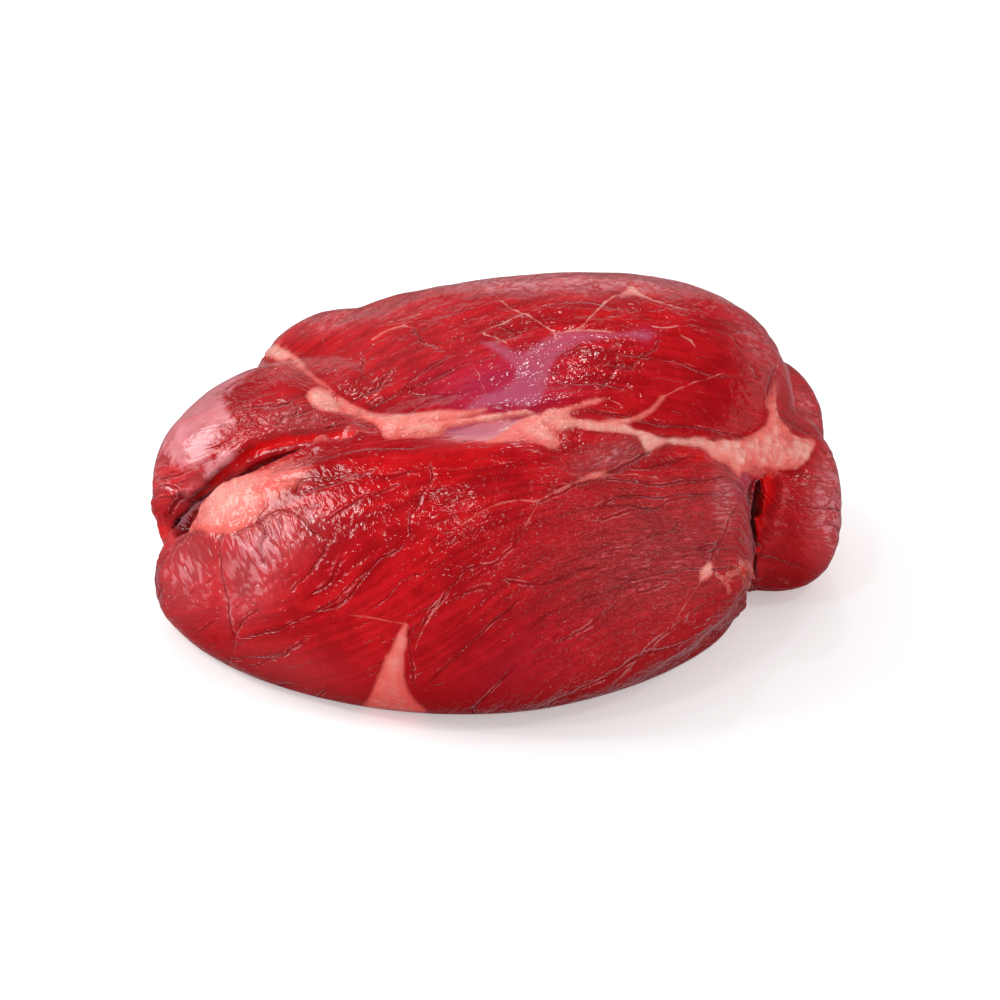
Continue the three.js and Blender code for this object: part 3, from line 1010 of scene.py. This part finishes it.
def meat_finish():
    """Wet raw beef: lean muscle with painted sheen, shade, light and glints, fat, silver skin, veins and cracks."""
    settings = bpy.context.scene.beef_round
    material = bpy.data.materials.new("raw_beef")
    web = Web(material)
    place = web.node("TexCoord", output="Object")
    fibre = web.attribute("fibre", "Vector")
    painted_sheen, shade, glow, leather = web.parts("tone")
    cream, magenta, salmon, painted_glint = web.parts("tint")
    crack, crack_strength, hole = web.axes("crack")
    vein, vein_width, lip = web.axes("vein")
    fold, fold_strength, painted_gloss = web.axes("fold")
    fat = web.attribute("fat")

    long_grain = web.noise(web.stretch(fibre, (0.035, 0.42, 0.06)), 1.0, 3.0, 0.6)
    fine_grain = web.noise(web.stretch(fibre, (0.12, 1.3, 0.2)), 1.0, 2.0, 0.6)
    blotch = web.noise(place, 55.0, 3.0, 0.55)
    patchy = web.noise(place, 170.0, 3.0, 0.55)
    speckle = web.noise(place, 420.0, 2.0, 0.6)
    wander = web.node("TexNoise", None, {"Vector": fibre, "Scale": 0.22, "Detail": 3.0}, output="Color")
    bent = web.node("VectorMath", {"operation": "MULTIPLY_ADD"}, {0: wander, 1: (3.4, 3.4, 3.4), 2: fibre})
    wrinkle = web.edges(web.stretch(bent, (0.30, 0.46, 0.36)), 1.0)
    crease = wrinkle.step(0.10, 0.0) * (patchy + blotch).step(0.85, 1.15)
    ridged = abs(web.noise(web.stretch(bent, (0.19, 0.33, 0.27)), 1.0, 2.0, 0.6) - 0.5)
    crinkle = ridged.step(0.0, 0.11)
    streak = abs(web.noise(web.stretch(bent, (0.022, 0.15, 0.05)), 1.0, 1.0, 0.5) - 0.5)
    cut = streak.step(0.016, 0.002) * (blotch + patchy).step(0.95, 1.2)
    pebble = web.noise(web.stretch(bent, (0.30, 0.48, 0.40)), 1.0, 1.0, 0.5)


    mottle = long_grain + blotch * 0.7 + patchy * 0.5
    lean = web.mix(colour(settings.deep), colour(settings.muscle), mottle.step(0.9, 1.3))
    lean = web.mix(lean, colour(settings.deep), fine_grain.step(0.5, 0.3) * 0.5)
    # Painted shade darkens the lean towards the deep colour.
    lean = web.mix(lean, colour(settings.deep), shade * 0.85)
    # Painted light: brighter red where the glows lie.
    lean = web.mix(lean, colour(settings.glow), (glow + (blotch - 0.5) * 0.8).step(0.25, 0.9) * 0.85)
    # Painted shade where it is strongest: a darker red.
    lean = web.mix(lean, (0.25, 0.002, 0.004, 1.0), (shade - 0.7).step(0.0, 0.9) * 0.75)
    # Painted sheen: wet is how much of the sheen colour is laid on the lean; the skin is also a little rougher there.
    ragged = painted_sheen + (long_grain - 0.5) * 0.3 + (blotch - 0.5) * 0.35 + (patchy - 0.5) * 0.25
    dry = (1 - crinkle) * (leather * 0.5 + 0.2) + crease * 0.35 * leather
    wet = ((ragged - dry).step(0.12, 0.8) * painted_sheen.step(0.04, 0.3)).most(painted_sheen * 0.35)
    # Painted highlight on the left muscle, in the sheen colour, with ragged edges.
    glossy = (painted_gloss + (blotch - 0.5) * 3.0 + (patchy - 0.5) * 9.0 + (speckle - 0.5) * 6.0).step(-2.6, 2.2)
    glossy = glossy * painted_gloss.step(-5.0, -0.5)
    lean = web.mix(lean, colour(settings.painted_sheen), wet.most(glossy * (0.72 + (patchy - 0.5) * 0.8)) * 0.85)
    lean = web.mix(lean, (0.42, 0.03, 0.11, 1.0), magenta * 0.75)
    # Painted shade in the small wrinkles and the long cuts.
    lines = (crease * 0.45).most((1 - crinkle) * 0.5) * (leather * 0.9 + 0.04)
    lines = lines.most(cut * 0.6) * (1 - glossy)
    lean = web.mix(lean, (0.24, 0.002, 0.004, 1.0), lines)

    seam = abs(fold + (patchy - 0.5) * 1.5 + (speckle - 0.5) * 0.6)
    # Painted shade along the folds between fibre bundles, and broad painted shade round them.
    painted_fold_shade = (fold_strength * (blotch * 0.9 - 0.1) - seam).step(-0.3, 0.15) * fold_strength.step(0.1, 0.5)
    painted_fold_shade = painted_fold_shade * (1 - glossy)
    lean = web.mix(lean, (0.20, 0.001, 0.003, 1.0), (painted_fold_shade * 0.6).most(seam.step(3.0, 0.0) * fold_strength * 0.3))
    # Painted highlight on the rims of the folds.
    painted_fold_highlight = abs(seam - 0.8).step(0.4, 0.05) * (patchy + long_grain).step(1.0, 1.2) * fold_strength.step(0.2, 0.7)
    lean = web.mix(lean, (0.80, 0.30, 0.31, 1.0), painted_fold_highlight * 0.4)

    # Painted light: the wall under the lip and the slot's rim are bright red.
    lean = web.mix(lean, (0.86, 0.004, 0.006, 1.0), (lip + (patchy - 0.5) * 2.0).step(-0.4, 1.0) * 0.85)
    # Painted shade: the hole and the slot's mouth are nearly black red.
    lean = web.mix(lean, (0.12, 0.001, 0.003, 1.0), (hole + (patchy - 0.5) * 2.0).step(-0.4, 1.0) * 0.9)
    veil = web.attribute("silver") + (blotch - 0.5) * 2.4 + (long_grain - 0.5) * 2.0
    veil_share = veil.step(-0.8, 1.8) * 0.65
    lean = web.mix(lean, colour(settings.silver), veil_share)

    thread = abs(vein + (patchy - 0.5) * 1.6 + (speckle - 0.5) * 0.4)
    vein_share = (vein_width * (blotch + patchy - 0.45) - thread).step(-0.14, 0.12) * vein_width.step(0.02, 0.12)
    vein_share = vein_share * (0.35 + (speckle + patchy).step(0.85, 1.15) * 0.65)
    pale = web.mix((0.72, 0.12, 0.09, 1.0), (0.82, 0.33, 0.30, 1.0), (cream + (patchy - 0.4)).step(0.0, 0.6))
    lean = web.mix(lean, pale, vein_share * 0.75)

    # Painted shade in the creases, and painted glints along their rims.
    gap = abs(crack + (patchy - 0.5) * 0.8 + (speckle - 0.5) * 0.5)
    on_crack = crack_strength.step(0.02, 0.3)
    painted_crease_shade = (crack_strength * (patchy * 0.9 - 0.1) - gap).step(-0.25, 0.15) * on_crack
    lean = web.mix(lean, (0.18, 0.001, 0.003, 1.0), painted_crease_shade * 0.32)
    lit_rim = abs(gap - 0.75).step(0.3, 0.05) * (speckle + blotch).step(1.0, 1.15) * on_crack
    lean = web.mix(lean, (0.86, 0.40, 0.42, 1.0), lit_rim * 0.35)
    bloody = (salmon + (patchy - 0.5) * 0.7 + (blotch - 0.5) * 0.4 + (long_grain - 0.5) * 0.8).step(0.3, 1.0)
    lean = web.mix(lean, colour(settings.salmon), bloody * salmon.step(0.05, 0.3) * 0.85)

    inner = fat + (patchy - 0.5) * 2.0 + (blotch - 0.5) * 2.0
    creamy = inner.step(0.0, 3.2) * 0.3 + cream * 0.6 + (patchy - 0.5) * 0.9 + (fine_grain - 0.5) * 0.5
    marbled = web.mix(colour(settings.salmon), colour(settings.cream), creamy.step(0.0, 0.95))
    fat_share = (fat + (patchy - 0.5) * 1.7 + (blotch - 0.5) * 2.0 + (speckle - 0.5) * 0.4).step(-0.9, 0.8) * 0.95
    knots = web.node("VectorMath", {"operation": "MULTIPLY_ADD"}, {0: wander, 1: (1.4, 1.4, 1.4), 2: web.stretch(
        place, (230.0, 230.0, 230.0))})
    lobule = web.edges(knots, 1.0)
    marbled = web.mix(marbled, colour(settings.salmon), lobule.step(0.14, 0.0) * 0.4)
    # Painted shade darkens the fat towards the muscle colour.
    marbled = web.mix(marbled, colour(settings.muscle), (shade * 0.45).least(0.5))
    base = web.mix(lean, marbled, fat_share)

    # Painted glints: small pale dots along the folds and in the glint ellipses.
    grid = web.stretch(bent, (0.5, 0.95, 0.7))
    dots = web.node("TexVoronoi", None, {"Vector": grid, "Scale": 1.0, "Randomness": 1.0})
    pick = web.node("TexVoronoi", None, {"Vector": grid, "Scale": 1.0, "Randomness": 1.0}, output="Color")
    pick = web.node("SeparateColor", None, {0: pick})
    drop = (dots + (speckle - 0.5) * 0.35 - (pick - 0.7) * 0.45).step(0.15, 0.03) * pick.step(0.66, 0.72)
    along = seam.step(2.2, 0.3) * fold_strength * 0.7 + painted_glint + 0.1
    drop = drop * (along + (blotch - 0.5) * 1.6).step(0.3, 0.6)
    base = web.mix(base, (0.95, 0.62, 0.62, 1.0), drop * 0.4)

    relief = (
        (long_grain - 0.5) * 0.2 + (pebble - 0.5) * (leather * 0.35 + 0.42) + (patchy - 0.5) * 0.2
        + wrinkle.step(0.0, 0.3) * (leather * 0.28 + 0.01) + ridged.step(0.0, 0.16) * (leather * 0.38 + 0.06)
        - painted_crease_shade * 0.3 - painted_fold_shade * 0.35 - cut * 0.25
    ) * (1 - fat_share * 0.7) * (1 - glossy * 0.6) + (
        lobule.step(0.0, 0.4) * 0.35 + (patchy - 0.5) * 0.45) * fat_share
    bump = web.node("Bump", None, {"Strength": 1.0, "Distance": MM, "Height": relief}, output="Normal")
    rough = 0.14 + wet * 0.05 + fat_share * 0.04 + (speckle - 0.5) * 0.08
    shader = web.node("BsdfPrincipled", None, {
        "Base Color": base, "Roughness": rough, "IOR": 1.46, "Normal": bump,
        "Sheen Weight": 0.5, "Sheen Roughness": 0.22, "Sheen Tint": (1.0, 0.66, 0.7, 1.0),
    })
    web.node("OutputMaterial", None, {"Surface": shader})
    return material


class BEEF_OT_round(bpy.types.Operator):
    """Models the meat on a copy of the CAD solid"""

    bl_idname = "beef.round"
    bl_label = "Beef Round"

    def execute(self, context):
        piece = skin_of_node()
        carve(piece)
        deselect()
        piece.select_set(True)
        context.view_layer.objects.active = piece
        bpy.ops.object.shade_smooth()
        piece.data.materials.append(meat_finish())
        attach(piece, "root")
        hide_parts(NODE)

        return {"FINISHED"}


def plain_finish(name, value, shine):
    material = bpy.data.materials.new(name)
    web = Web(material)
    shader = web.node("BsdfPrincipled", None, {
        "Base Color": colour(value), "Roughness": 0.9, "Emission Color": colour(value),
        "Emission Strength": shine, "Specular IOR Level": 0.0})
    web.node("OutputMaterial", None, {"Surface": shader})
    return material


def softbox(name, place, target, side, power, mirrored=True):
    """A square soft light that shines from a place to a target, and that wet skin mirrors or not."""
    bpy.ops.object.light_add(type="AREA", location=place)
    lamp = bpy.context.object
    lamp.name = name
    lamp.data.shape = "RECTANGLE"
    lamp.data.size, lamp.data.size_y = side
    lamp.data.energy = power
    lamp.visible_glossy = mirrored
    lamp.rotation_mode = "QUATERNION"
    lamp.rotation_quaternion = (Vector(target) - Vector(place)).to_track_quat("-Z", "Y")


class BEEF_OT_stage(bpy.types.Operator):
    """Sets up the camera, the floor and the lights"""

    bl_idname = "beef.stage"
    bl_label = "Beef Stage"

    def execute(self, context):
        stage = context.scene.beef_stage
        eye, right, up, towards = camera_axes()
        deselect()
        bpy.ops.object.camera_add(location=eye)
        camera = context.object
        camera.name = "camera"
        camera.rotation_mode = "QUATERNION"
        camera.rotation_quaternion = (-towards).to_track_quat("-Z", "Y")
        camera.data.sensor_width = SENSOR_MM
        camera.data.lens = stage.lens
        camera.data.shift_x = (PHOTO_SIDE / 2 - AIM_PIXEL[0]) / PHOTO_SIDE
        camera.data.shift_y = (AIM_PIXEL[1] - PHOTO_SIDE / 2) / PHOTO_SIDE
        camera.data.clip_end = 50
        context.scene.camera = camera

        deselect()
        bpy.ops.mesh.primitive_plane_add(size=stage.floor_side, location=(0, 0, cad_box[0].z))
        floor = context.object
        floor.name = "floor"
        bpy.ops.object.transform_apply(location=True, rotation=False, scale=False)
        floor.data.materials.append(plain_finish("pale_floor", (0.8, 0.8, 0.8), 0.46))
        floor.visible_glossy = False

        middle = (0, 0, 0.04)
        softbox("left_light", (-1.45, 0.25, 0.95), middle, (1.0, 0.7), stage.left_light)
        softbox("back_light", (-0.3, 1.9, 1.25), middle, (2.2, 0.8), stage.back_light, mirrored=False)
        softbox("right_light", (1.6, -0.7, 0.5), middle, (0.9, 0.9), stage.right_light)
        for name, place in GLINT_LIGHTS.items():
            softbox(name, place, middle, (0.17, 0.17), stage.glint_light)
        for name, place in RIM_CARDS.items():
            softbox(name, place, middle, (2.0, 0.9), stage.rim_light)
        world = bpy.data.worlds.new("sky")
        world.use_nodes = True
        sky = world.node_tree.nodes["Background"]
        sky.inputs["Color"].default_value = (1, 1, 1, 1)
        sky.inputs["Strength"].default_value = stage.sky
        world.cycles_visibility.glossy = False
        context.scene.world = world
        context.scene.view_settings.view_transform = "Standard"
        return {"FINISHED"}


class BEEF_PT_panel(bpy.types.Panel):
    """Lists the steps that make the meat and its stage"""

    bl_idname = "BEEF_PT_panel"
    bl_label = "Beef Round"
    bl_space_type = "VIEW_3D"
    bl_region_type = "UI"
    bl_category = "Beef Round"

    def draw(self, context):
        for settings, operator in (
            (context.scene.beef_stage, BEEF_OT_stage),
            (context.scene.beef_round, BEEF_OT_round),
        ):
            box = self.layout.box()
            for name in settings.__annotations__:
                box.prop(settings, name)
            box.operator(operator.bl_idname)


CLASSES = (BeefSettings, StageSettings, BEEF_OT_stage, BEEF_OT_round, BEEF_PT_panel)


def register():
    for each in CLASSES:
        bpy.utils.register_class(each)
    bpy.types.Scene.beef_round = bpy.props.PointerProperty(type=BeefSettings)
    bpy.types.Scene.beef_stage = bpy.props.PointerProperty(type=StageSettings)


def unregister():
    del bpy.types.Scene.beef_stage
    del bpy.types.Scene.beef_round
    for each in reversed(CLASSES):
        bpy.utils.unregister_class(each)


def main():
    register()
    bpy.ops.beef.stage()
    bpy.ops.beef.round()


if __name__ == "__main__":
    main()
